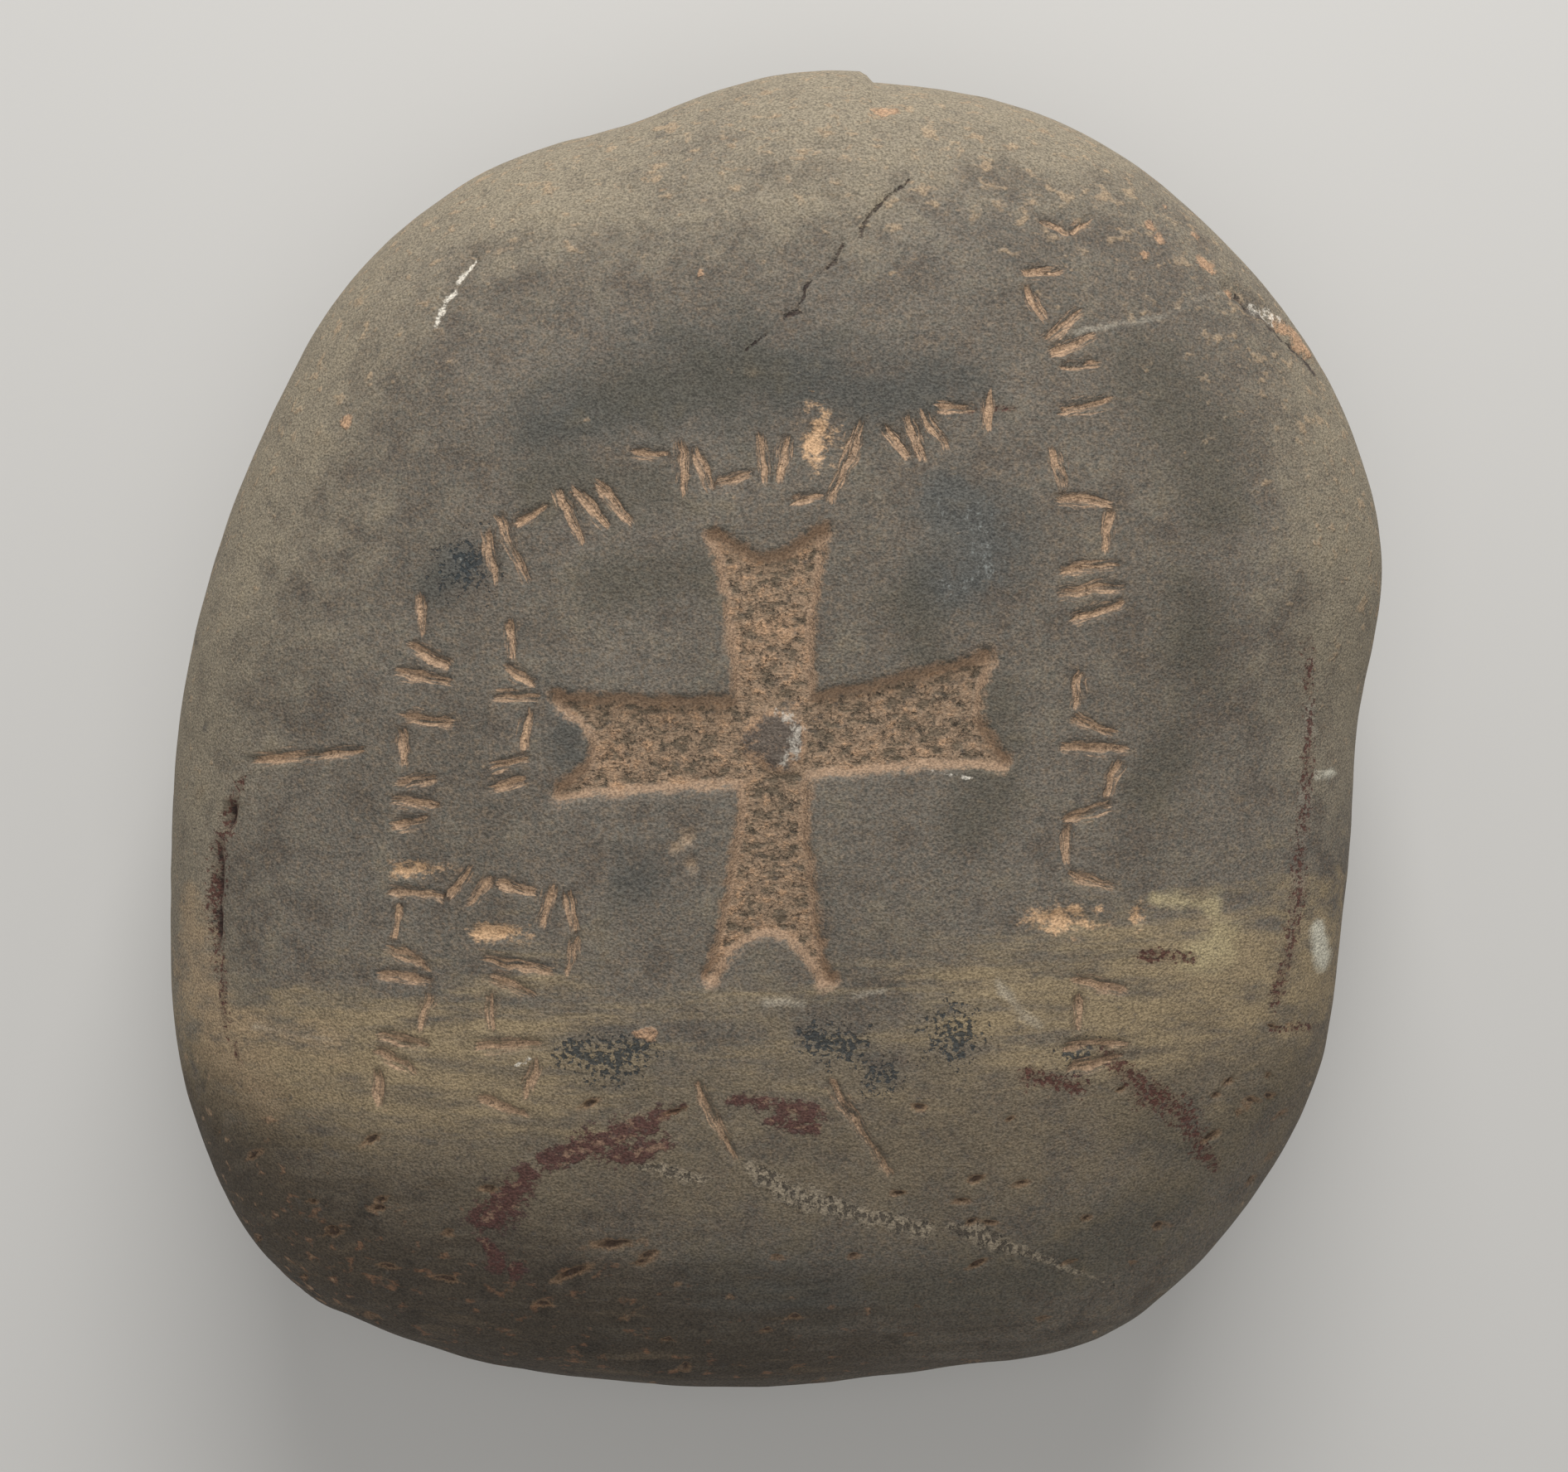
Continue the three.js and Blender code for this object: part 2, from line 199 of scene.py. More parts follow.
MARKS = {
    "slate": [
        [(-34, 41, 11), (-20, 47, 15), (-4.2, 49, 15), (14.2, 46, 12), (26.6, 47, 10)],
        [(26.4, 31.4, 9), (32.6, 26.9, 10), (31.3, 20.1, 9), (23.9, 20.1, 8)],
        [(-31, 3, 6), (-30, -3, 6)],
        [(-46.1, 22.5, 6), (-50, 19, 6)],
        [(-20, -20, 8)],
        [(-10, -78, 12), (8, -80, 12)],
    ],
    "speckled": [[(24, 31, 8), (31, 27, 11), (32, 21, 10), (25, 19, 7)], [(-46, 22.5, 5)], [(-30, 2, 4)]],
    "blotch": [
        [(63, 18.2, 9), (64, 9, 10)],
        [(60.3, -2.5, 8), (55, -9, 6)],
        [(31, 6, 8), (32, -4, 9), (29.5, -13, 10)],
        [(81.3, -49.4, 6), (76, -55, 6)],
        [(20, 16, 9), (24, 8, 8)],
        [(-8, 22, 9), (-24, 20, 8)],
        [(-34, 34, 11), (-18, 33, 10)],
        [(-24, 47, 9), (-4, 49, 10)],
        [(55, -55, 9), (66, -60, 13), (72, -55, 9)],
        [(-38, -86, 12), (-20, -89, 13), (-4, -92, 10)],
        [(57, 49.6, 12), (65, 40, 12), (67, 30, 9)],
        [(20, -80, 10), (34, -80, 13), (52, -73, 14), (63, -66, 9)],
    ],
    "blue_specks": [
        [(-31, -44.5, 3), (-24, -45.5, 6), (-19, -44, 3)],
        [(6, -42.5, 4), (12, -44, 4)],
        [(26.5, -42, 6)],
        [(16, -48, 4)],
        [(45.5, -45.5, 4)],
        [(-46, 22.5, 6)],
    ],
    "olive_patch": [[(57, -23.5, 1.5), (66, -24.7, 3)], [(68.5, -30.2, 4), (63, -32, 3)]],
    "tan_stain": [
        [(-92, -26, 6), (-90, -38, 12), (-84, -48, 13), (-78, -54, 8)],
        [(-84, -42, 5), (-66, -44, 4)],
    ],
    "orange": [
        [(-66, 43.5, 1.9)],
        [(-20, -42, 1.5), (-18, -42, 1.5)],
        [(14.2, 89, 1.3), (17, 89.4, 1.8), (19.5, 89.8, 1.2)],
        [(-11, 63.5, 1)],
        [(78.7, 60.4, 1.3), (82.6, 58.3, 1.9), (85.8, 55.2, 1.4)],
        [(61.4, 75.8, 1)],
        [(58.1, 72.4, 1.1), (59.9, 69.9, 1.3)],
        [(65.9, 71.5, 1.4)],
        [(57.1, 67.2, 1.2)],
        [(66.7, 67.4, 1.6), (68.5, 66, 1.2)],
        [(71.3, 63.3, 1.7)],
    ],
    "white": [
        *WHITE_CRACK,
        [(75.8, 61.6, 1.9), (77.6, 60.4, 2.3), (80.5, 59.8, 1.2)],
        [(-36.6, -45.6, 0.7), (-39, -46.6, 0.6)],
        [(23, -5.9, 0.4), (29, -6.7, 0.5)],
    ],
    "smear": [
        [(-81, -42.3, 1.2), (-75, -42.7, 2), (-66.9, -43.7, 1)],
        [(-1.2, -37.7, 1.2), (4.4, -37.7, 1.3)],
        [(11.7, -36.7, 1.2), (16.6, -36.1, 1)],
        [(33.2, -34.8, 1.4), (37, -39.5, 2.2), (39.6, -41.2, 1.8)],
        [(45.6, 55.1, 0.9), (58.8, 57.9, 1.3), (70.5, 63.1, 0.8)],
        [(83, 10, 1.5), (83, -2.5, 1.8), (81.5, -14.5, 2), (81, -24, 2), (79.5, -32, 1.6)],
    ],
    "boss_smear": [
        [(0.6, 2.1, 1.2), (3.3, 0.6, 1.5), (3.5, -0.5, 1.8), (2.9, -3.1, 2.2), (1.3, -4.5, 1.6)],
    ],
    "lichen": [[(85.2, -29.3, 2.8), (86.4, -33.4, 3.4)], [(84.5, -6.5, 1.8)], [(87.5, -6.5, 1.4)]],
    "vein": [
        [(-20.4, -60.7, 0.8), (-16.7, -61.5, 1.6), (-10.5, -62.7, 1.5)],
        [(-3.6, -61.1, 1.5), (0.7, -63.5, 2.8), (4.4, -65.5, 2.8), (9.5, -67.1, 2)],
        [(9.5, -67.1, 2), (15.7, -68.6, 1.9), (23, -70.5, 2.2)],
        [(27, -69.9, 1.4), (31.5, -71.3, 2.8), (36, -73, 1.6), (42.6, -75.9, 0.9), (53.1, -80.4, 0.5)],
    ],
    "crust": [
        [(-13.9, -52.3, 1.6), (-17.8, -54, 3), (-22.7, -55.7, 4), (-29, -58.1, 4), (-34.7, -60.1, 2.6)],
        [(-37, -62, 3.2), (-41, -66.5, 5), (-44, -69, 4.2)],
        [(-16.6, -57.9, 2.6), (-23.5, -59.3, 3.2)],
        [(-44.1, -72.5, 2.4), (-42.4, -75.3, 3), (-39.6, -76.5, 2.6)],
        [(-6.7, -51.1, 1.2), (-0.5, -51.6, 2.4), (6.3, -53.2, 2.8)],
        [(-0.5, -54.3, 1.6), (6.3, -55.2, 2)],
    ],
    "rust": [
        [(-81.5, -6.5, 0.9), (-84, -11, 1.5), (-86, -17, 2.4), (-87.5, -26.5, 2.2), (-86, -35.5, 1.3)],
        [(-86, -35.5, 1.1), (-85, -43, 1), (-82.5, -48, 0.9)],
        [(49.7, -44.9, 1.6), (53.1, -48, 2.2), (56.5, -51.1, 2.8), (62.6, -54.5, 3)],
        [(62.6, -54.5, 3), (65.8, -59.7, 2), (68.5, -63.5, 1.2)],
        [(37.8, -48.1, 1.8), (45.4, -49.7, 1.8)],
        [(55, -31.5, 1.2), (63, -32, 1.2)],
        [(82.5, 12.5, 1.2), (83, -2.5, 1.4), (81.5, -14.5, 1.7), (81, -24, 1.9), (79.5, -32, 1.7),
         (77, -39.5, 1.2)],
        [(76, -43, 0.8), (86, -43.5, 0.8)],
        [(27.8, 43.4, 0.6), (36, 44.2, 0.5)],
    ],
    "crack": LONG_CRACK + RED_CRACK + CHIP_EDGE,
}

# Slits, each with its half length in millimetres.
SLITS = [
    (-24.2, -72.3, 5), (-30.8, -76.8, 4.5), (-50.5, -78.5, 3.5), (-61.2, -57.7, 2.5), (-22.5, -83.5, 3),
    (-59.6, -77.1, 2.5), (-68.6, -72.4, 2.5), (47.5, -69, 1.4), (31, -75.5, 2.5), (28, -66, 1.8),
    (60, -71.5, 2.5), (12, -74.5, 1.5), (-7, -81, 2.2), (70, -50, 1.5), (78.5, -63.5, 2.2),
    (75.6, -66.5, 1.8), (80.5, -43, 1.2), (77.5, -42.5, 1.2), (76.6, -50.1, 1.3), (77.6, -53, 1.4),
]

# More slits are scattered between these places across. The squares of how far down they lie are spread
# evenly, so that they thicken towards the lower edge. Their half lengths are in this range.
SCATTERED_SLITS, SCATTER_SEED = 70, 31
SCATTER_ACROSS, SCATTER_DOWN_SQUARED, SCATTER_HALF_LENGTHS = (-90, 90), (0.25, 0.97), (0.7, 2.6)

# A slit's half breadth is this much and this share of its half length. It is turned by an angle in
# radians that has this mean and spread.
SLIT_BREADTH, SLIT_BREADTH_SHARE = 0.5, 0.1
SLIT_TURN = (0.15, 0.25)

# The weather's regions, in shares of the half width or half height: where a soft edge starts and is full,
# or a band's middle and spread. A strength is the most of it that shows. The height of a waver is in
# these shares too, and its length is in millimetres. A lean tilts the edge or the band.
BLEACHED_TOP, TOP_STRENGTH, TOP_WAVER = (0.5, 1.0), 0.9, (0.1, 30)
BLEACHED_LEFT, LEFT_STRENGTH, LEFT_WAVER, LEFT_LEAN = (0.45, 1.05), 0.85, (0.08, 25), 0.35
BLEACHED_RIGHT, RIGHT_STRENGTH, RIGHT_WAVER, RIGHT_FOOT = (0.6, 0.95), 0.8, (0.04, 25), (-0.45, 0.1)
TAN_BAND, OLIVE_BAND, BAND_WAVER, BAND_LEAN = (-0.57, 0.2), (-0.42, 0.16), (0.03, 30), 0.1
OLIVE_SIDES, OLIVE_IN_MIDDLE = (0.05, 0.45), 0.45
EARTHY_FOOT, EARTHY_WAVER, EARTHY_LEAN = (0.55, 1.02), (0.07, 34), 0.29
PALE_EDGE, PALE_EDGE_SHARE = (0.93, 1.02), 0.5
FLECKED_RIM, FLECKED_EVERYWHERE, FLECKED_AT_RIM, FLECKED_LEAN = (0.7, 1.05), 0.1, 0.8, 0.25

# Three of them fade down the sides between these heights in millimetres, to these shares at the foot.
SIDE_HEIGHTS = (15, 75)
BLEACHED_ON_SIDE, TAN_ON_SIDE, FLECKED_ON_SIDE = 0.35, 0.5, 0.4

# The random tables of the ripples and of the pecks repeat after this many cells. The stone's middle is
# this many cells into the ripples, and a peck lies between these shares of its cell.
RIPPLE_CELLS, RIPPLE_START = 64, 512.5
PECK_CELLS, PECK_JITTER = 128, (0.1, 0.9)

# The hand's sway takes these steps along a sine, and keeps the digits behind the point when it is made
# this many times as large.
SWAY_STEP, SWAY_SCALE = 12.9898, 43758.5453

# How far above the rim the camera stands, its aim beside the cobble's middle, its lens and the width of
# its sensor, in millimetres. Nothing is drawn nearer to it than this, in metres.
CAMERA_ABOVE_RIM = 507.0
CAMERA_AIM = (2.0, -1.7)
CAMERA_LENS, CAMERA_SENSOR = 50, 36
CAMERA_NEAR = 0.01

# The places and sizes of the lamps and the floor's half width are in metres.
LAMPS = [
    dict(name="top_window", place=(0.1, 1.25, 0.8), size=0.8, watts=21),
    dict(name="overhead", place=(0.0, -0.2, 1.6), size=1.4, watts=8),
]
ROOM_LIGHT = 0.3
FLOOR_HALF = 3.0


def on_face(place):
    """A place on the face in millimetres."""
    return np.array([place[0] / 100 * HALF_WIDTH, place[1] / 100 * HALF_HEIGHT])


def smooth(value, start, end):
    """0 before start and 1 after end, with a smooth S between them."""
    t = np.clip((value - start) / (end - start), 0, 1)
    return t * t * (3 - 2 * t)


def ripple(points, size, seed):
    """Smooth random heights from -1 to 1: each point blends the random values at the eight corners of the
    cube of the given size that it lies in."""
    table = np.random.default_rng(seed).uniform(-1, 1, (RIPPLE_CELLS,) * 3)
    place = points / size + RIPPLE_START
    cell = np.floor(place).astype(int)
    share = smooth(place - cell, 0, 1)
    total = np.zeros(len(points))
    for corner in itertools.product((0, 1), repeat=3):
        weight = np.prod(np.where(corner, share, 1 - share), axis=1)
        x, y, z = ((cell + corner) % RIPPLE_CELLS).T
        total += weight * table[x, y, z]
    return total


def waver(points, height_and_length, seed):
    """A ripple of the given height and length."""
    height, length = height_and_length
    return height * ripple(points, length, seed)


def pecks(x, y, spacing, seed):
    """Distance to the nearest peck mark over the spacing: one mark lies at random in each square of a
    grid, and the nine squares about a point are searched."""
    jitter = np.random.default_rng(seed).uniform(*PECK_JITTER, (PECK_CELLS, PECK_CELLS, 2))
    column, row = np.floor(x / spacing).astype(int), np.floor(y / spacing).astype(int)
    nearest = np.full(x.shape, np.inf)
    for i, j in itertools.product((-1, 0, 1), repeat=2):
        mark = jitter[(column + i) % PECK_CELLS, (row + j) % PECK_CELLS]
        away = np.hypot(column + i + mark[:, 0] - x / spacing, row + j + mark[:, 1] - y / spacing)
        nearest = np.minimum(nearest, away)
    return nearest


def sway(number):
    """A hand's unevenness, from -1 to 1 and the same each time for the same number: the digits behind the
    point of a large sine."""
    wave = math.sin(number * SWAY_STEP) * SWAY_SCALE
    return 2 * (wave - math.floor(wave)) - 1


def outline_share(angle):
    """The outline's share at an angle, by a closed Catmull-Rom curve through the listed shares."""
    place = (angle / (2 * np.pi)) % 1 * len(OUTLINE)
    index = np.floor(place).astype(int)
    f = place - index
    a, b, c, d = (OUTLINE[(index + step) % len(OUTLINE)] for step in (-1, 0, 1, 2))
    bend, twist = 2 * a - 5 * b + 4 * c - d, 3 * b - a - 3 * c + d
    return 0.5 * (2 * b + (c - a) * f + bend * f ** 2 + twist * f ** 3)


def skin(u, v, w):
    """Points of the cobble's skin. The box point (u, v, w) is spread over a rounded square patch, whose
    distance from the middle gives a slope on the face and one on the back, and w blends them. At a slope,
    the point is sin(slope)^(2/n) of the way to the outline, and |cos(slope)|^(2/n) of the way from the
    rim to the face or back, where n is the squareness."""
    x = u * np.sqrt(1 - PATCH_ROUNDNESS * v * v)
    y = v * np.sqrt(1 - PATCH_ROUNDNESS * u * u)
    out = np.hypot(x, y) * PATCH_SHARE
    angle = np.arctan2(y, x)
    face_slope = np.arcsin(out ** (FACE_SQUARENESS / 2))
    back_slope = np.pi - np.arcsin(out ** (BACK_SQUARENESS / 2))
    slope = face_slope + (1 - w) / 2 * (back_slope - face_slope)
    on_front = slope < np.pi / 2
    squareness = np.where(on_front, FACE_SQUARENESS, BACK_SQUARENESS)
    reach = np.sin(slope) ** (2 / squareness) * outline_share(angle)
    rise = np.abs(np.cos(slope)) ** (2 / squareness)
    height = np.where(on_front, RIM_HEIGHT + (THICKNESS - RIM_HEIGHT) * rise,
                      RIM_HEIGHT - (RIM_HEIGHT + FOOT_WEAR) * rise)
    return np.stack([reach * np.cos(angle) * HALF_WIDTH, reach * np.sin(angle) * HALF_HEIGHT,
                     np.maximum(height, 0)], axis=1)


def patch_grid(count):
    """The corners of a square patch from -1 to 1, the order of the corners round its edge, anticlockwise,
    and its squares."""
    v, u = np.meshgrid(np.linspace(-1, 1, count + 1), np.linspace(-1, 1, count + 1), indexing="ij")
    index = np.arange((count + 1) ** 2).reshape(count + 1, count + 1)
    edge = np.concatenate([index[0, :-1], index[:-1, -1], index[-1, :0:-1], index[:0:-1, 0]])
    quads = np.stack([index[:-1, :-1], index[:-1, 1:], index[1:, 1:], index[1:, :-1]], axis=-1)
    return u.ravel(), v.ravel(), edge, quads.reshape(-1, 4)


def cobble_grid():
    """The whole cobble as a box of squares: the face patch, the rows of the side down to the back, which
    halve their squares twice, and the back patch. Returns the box points and the faces."""
    u, v, edge, quads = patch_grid(FACE_SQUARES)
    points = [np.stack([u, v, np.ones_like(u)], axis=1)]
    faces = quads.tolist()
    rows = [1] * FINE_ROWS + [2] * (MIDDLE_ROWS + 1) + [4] * (COARSE_ROWS + 1)
    total = len(points[0])
    above, above_step = edge, 1
    for number, step in enumerate(rows, start=1):
        row_edge = edge[::step]
        w = np.full(len(row_edge), 1 - 2 * number / len(rows))
        row_points = np.stack([u[row_edge], v[row_edge], w], axis=1)
        below = np.arange(len(row_edge)) + total
        if number == len(rows):
            back_u, back_v, back_edge, back_quads = patch_grid(FACE_SQUARES // step)
            row_points = np.stack([back_u, back_v, -np.ones_like(back_u)], axis=1)
            below = back_edge + total
            faces += (back_quads[:, ::-1] + total).tolist()
        points.append(row_points)
        total += len(row_points)
        after = np.roll(below, -1)
        if step == above_step:
            faces += np.stack([above, below, after, np.roll(above, -1)], axis=1).tolist()
        else:
            first, middle, second = above[::2], above[1::2], np.roll(above[::2], -1)
            for corners in ((first, below, middle), (middle, below, after), (middle, after, second)):
                faces += np.stack(corners, axis=1).tolist()
        above, above_step = below, step
    return np.concatenate(points), faces


def near_segment(x, y, start, end):
    """How far along a straight segment its nearest point lies, from 0 to 1, and the distance to it."""
    along = end - start
    share = ((x - start[0]) * along[0] + (y - start[1]) * along[1]) / max(along @ along, TINY)
    share = np.clip(share, 0, 1)
    return share, np.hypot(x - start[0] - share * along[0], y - start[1] - share * along[1])


def stroke_field(x, y, strokes):
    """1 along each stroke's middle, 0 at its edges and less outside: a stroke widens soon after its start
    and thins a little to its end. With it comes each point's place along and across the stroke that it is
    nearest to, and the stroke's number times a step."""
    best = np.full(x.shape, FIELD_RANGE[0])
    places = np.zeros((len(x), 3))
    for number, (start, end, width) in enumerate(strokes):
        share, away = near_segment(x, y, start, end)
        field = 1 - away / (width / 2 * np.interp(share, *STROKE_TAPER))
        nearer = field > best
        run = (end - start) / np.hypot(*(end - start))
        dx, dy = x[nearer] - start[0], y[nearer] - start[1]
        along, aside = dx * run[0] + dy * run[1], dy * run[0] - dx * run[1]
        places[nearer] = np.stack([along, aside, np.full(len(dx), FIBRE_STEP * number)], axis=1)
        best = np.maximum(best, field)
    return best, places


def run_field(x, y, runs):
    """1 along each run of places, 0 at its half width from it and less outside. The half width changes
    evenly from one place to the next."""
    best = np.full(x.shape, FIELD_RANGE[0])
    for run in runs:
        for first, second in zip(run, run[1:] or run):
            share, away = near_segment(x, y, on_face(first), on_face(second))
            best = np.maximum(best, 1 - away / (first[2] + share * (second[2] - first[2])))
    return best


def dab_field(x, y, dabs):
    """1 in the middle of each dab, 0 at its edge and less outside: an ellipse's own distance."""
    best = np.full(x.shape, FIELD_RANGE[0])
    for place, half in dabs:
        centre = on_face(place)
        best = np.maximum(best, 1 - np.hypot((x - centre[0]) / half[0], (y - centre[1]) / half[1]))
    return best


def slit_field(x, y):
    """1 in the middle of each slit, 0 at its edge and less outside: long ellipses, turned a little."""
    draw = np.random.default_rng(SCATTER_SEED)
    slits = [(on_face(slit), slit[2]) for slit in SLITS]
    for _ in range(SCATTERED_SLITS):
        across, down = draw.uniform(*SCATTER_ACROSS), draw.uniform(*SCATTER_DOWN_SQUARED) ** 0.5
        slits.append((on_face((across, -100 * down)), draw.uniform(*SCATTER_HALF_LENGTHS)))
    best = np.full(x.shape, FIELD_RANGE[0])
    for place, half_length in slits:
        half_breadth = SLIT_BREADTH + SLIT_BREADTH_SHARE * half_length
        turn = draw.normal(*SLIT_TURN)
        dx, dy = x - place[0], y - place[1]
        along = dx * math.cos(turn) + dy * math.sin(turn)
        aside = dy * math.cos(turn) - dx * math.sin(turn)
        best = np.maximum(best, 1 - np.hypot(along / half_length, aside / half_breadth))
    return best


def row_strokes(row, number):
    """A row's strokes as pairs of points with their width. They follow each other along the row, each in
    a stretch of its own with a gap after it. A negative breadth lays the row to the right of the way it
    runs. The row's number and the stroke's place in it say how its two ends stray."""
    start, end, breadth, cuts = row
    start = on_face(start)
    along = on_face(end) - start
    aside = np.array([-along[1], along[0]]) / np.hypot(*along) * breadth
    steps = sum(CUT_KINDS[letter][0] for letter in cuts)
    begun = 0
    strokes = []
    for i, letter in enumerate(cuts):
        taken, *ends = CUT_KINDS[letter]
        points = []
        for (share, across), seed in zip(ends, (10 * number + i, 20 * number + i)):
            along_row = (begun + (taken - STROKE_GAP) * share) / steps
            points.append(start + along * along_row + aside * (across + HAND_SWAY * sway(seed)))
        strokes.append((*points, STROKE_WIDTH))
        begun += taken
    return strokes


def curve(start, pull, end, steps=10):
    """Points of a quadratic curve, without its end."""
    t = np.linspace(0, 1, steps, endpoint=False)[:, None]
    return (1 - t) ** 2 * start + 2 * t * (1 - t) * pull + t * t * end


def cross_outline():
    """The cross seen from the front, and the middles of its horns' tips. Each arm's sides curve from the
    corner it shares with its neighbour to a horn, and its end curves in to the notch."""
    centre = on_face(CROSS_PLACE)

    def at(angle, along, aside):
        """The point so far along an arm at this angle, and so far aside of its middle."""
        turn = math.radians(angle)
        return centre + np.array([along * math.cos(turn) - aside * math.sin(turn),
                                  along * math.sin(turn) + aside * math.cos(turn)])

    def corner(first, second):
        """The inner corner between two neighbouring arms."""
        along_first = at(first["angle"], second["root"] / 2, 0)
        along_second = at(second["angle"], first["root"] / 2, 0)
        return along_first + along_second - centre

    points, tips = [], []
    for i, arm in enumerate(ARMS):
        angle, reach, root, end, notch = (arm[key] for key in ("angle", "reach", "root", "end", "notch"))
        before, after = ARMS[i - 1], ARMS[(i + 1) % len(ARMS)]
        straight = reach * STRAIGHT_SHARE
        horn = end / 2 - HORN_TIP
        sides = (-end / 2, -horn, horn, end / 2)
        right_tip, right_horn, left_horn, left_tip = (at(angle, reach, side) for side in sides)
        points.append(curve(corner(before, arm), at(angle, straight, -root / 2), right_tip))
        points.append(right_tip[None])
        points.append(curve(right_horn, at(angle, reach - 2 * notch, 0), left_horn))
        points.append(left_horn[None])
        points.append(curve(left_tip, at(angle, straight, root / 2), corner(arm, after)))
        tips += [at(angle, reach - HORN_TIP / 2, side * (end - HORN_TIP) / 2) for side in (-1, 1)]
    return np.concatenate(points), tips


def inside_distance(x, y, outline):
    """Distance to a closed outline, above 0 inside it and below 0 outside: a point is inside when a line
    to its right crosses the outline an odd number of times."""
    away = np.full(x.shape, np.inf)
    inside = np.zeros(x.shape, bool)
    for start, end in zip(outline, np.roll(outline, -1, axis=0)):
        away = np.minimum(away, near_segment(x, y, start, end)[1])
        crosses = (start[1] > y) != (end[1] > y)
        slant = (end[0] - start[0]) / (end[1] - start[1] if end[1] != start[1] else TINY)
        inside ^= crosses & (x < start[0] + (y - start[1]) * slant)
    return np.where(inside, away, -away)


def scar_depth(points, normals):
    """How deep the flake scar is: a step that fades out along the rim, and up the face as a thicker copy
    of the cobble would come out of it."""
    far = FLAKE_START + FLAKE_LENGTH
    fall = FLAKE_DEPTH * (far - points[:, 0]) / FLAKE_LENGTH * normals[:, 1]
    fall -= FLAKE_SWELL * np.abs((points[:, 2] - RIM_HEIGHT) * normals[:, 2])
    ragged = FLAKE_START + waver(points, FLAKE_WAVER, seed=19)
    begun = smooth(points[:, 0], ragged + FLAKE_STEP[0], ragged + FLAKE_STEP[1])
    return np.clip(fall, 0, None) * begun * (points[:, 0] < far)


def carve(points, normals):
    """Moves the cobble's skin along its normals: it swells, and each cut goes in by its depth times a
    smooth step over its field. Returns the moved points, the marks that the finishes read, each above 0
    where its finish lies, and the places along and across the strokes. The carving is laid out on places
    that waver a little, so that no edge is straight."""
    flat = points * (1, 1, 0)
    front = points[:, 2] > RIM_HEIGHT
    x = points[:, 0] + waver(flat, COARSE_WAVER, seed=1) + waver(flat, FINE_WAVER, seed=2)
    y = points[:, 1] + waver(flat, COARSE_WAVER, seed=3) + waver(flat, FINE_WAVER, seed=4)

    outline, tips = cross_outline()
    cross = inside_distance(x, y, outline)
    for tip in tips:
        cross = np.maximum(cross, HORN_ROUNDING - np.hypot(x - tip[0], y - tip[1]))
    centre = on_face(CROSS_PLACE)
    boss = BOSS_RADIUS + waver(flat, BOSS_WAVER, seed=9) - np.hypot(x - centre[0], y - centre[1])
    boss = smooth(boss, *BOSS_WALL)
    pecked = pecks(x, y, PECK_SPACING, seed=11)
    floor = CROSS_DEPTH * (1 - BOSS_SHARE * boss)
    floor += PECK_DEPTH * (PECK_MIDDLE - pecked) + waver(points, FLOOR_WAVER, seed=12)
    dug = smooth(cross, *CROSS_WALL) * floor

    strokes = [stroke for number, row in enumerate(ROWS, start=1) for stroke in row_strokes(row, number)]
    strokes += [(on_face(start), on_face(end), width) for start, end, width in GOUGES]
    stroke, stroke_place = stroke_field(x, y, strokes)
    dab, pits = dab_field(x, y, DABS), dab_field(x, y, PITS)
    rough = STROKE_EVENNESS + waver(points, STROKE_WAVER, seed=14)
    dug += STROKE_DEPTH * smooth(stroke, *STROKE_WALL) * rough
    rough = DAB_EVENNESS + DAB_PECKS * (0.5 - pecked)
    dug += STROKE_DEPTH * smooth(np.maximum(dab, pits), *DAB_WALL) * rough

    chip, red_crack = run_field(x, y, CHIP), run_field(x, y, RED_CRACK)
    thin_cracks = np.maximum(run_field(x, y, LONG_CRACK), run_field(x, y, WHITE_CRACK))
    slit = slit_field(x, y)
    rough = CHIP_EVENNESS + waver(points, CHIP_WAVER, seed=17)
    dug += CHIP_DEPTH * smooth(chip, *CHIP_WALL) * rough
    dug += RED_CRACK_DEPTH * smooth(red_crack, *RED_CRACK_WALL)
    dug += THIN_CRACK_DEPTH * smooth(thin_cracks, *THIN_CRACK_WALL)
    dug += SLIT_DEPTH * smooth(slit, *SLIT_WALL)

    swell = sum(waver(points, each, seed) for seed, each in enumerate(SKIN_SWELLS, start=5))
    below = smooth(-points[:, 1] / HALF_HEIGHT, *RIDGES_FROM)
    swell += below * waver(points * RIDGES_DRAWN_OUT, RIDGE_WAVER, seed=8)
    lift = swell - np.where(front, dug, 0) - scar_depth(points, normals)
    above_foot = smooth(points[:, 2], *FOOT_FADE)
    moved = points + normals * (lift * above_foot)[:, None]
    moved[:, 2] = np.maximum(moved[:, 2], 0)

    marks = {name: run_field(x, y, runs) for name, runs in MARKS.items()}
    marks["cross"] = cross
    marks["floor"] = smooth(cross, *CROSS_BORDER) * (1 - boss)
    marks["boss"] = np.where(cross > 0, boss, 0)
    marks["stroke"], marks["dab"], marks["pits"], marks["slit"] = stroke, dab, pits, slit
    for name, field in marks.items():
        marks[name] = np.where(front, np.clip(field, *FIELD_RANGE), FIELD_RANGE[0])
    return moved, {**marks, **weathering(points)}, stroke_place


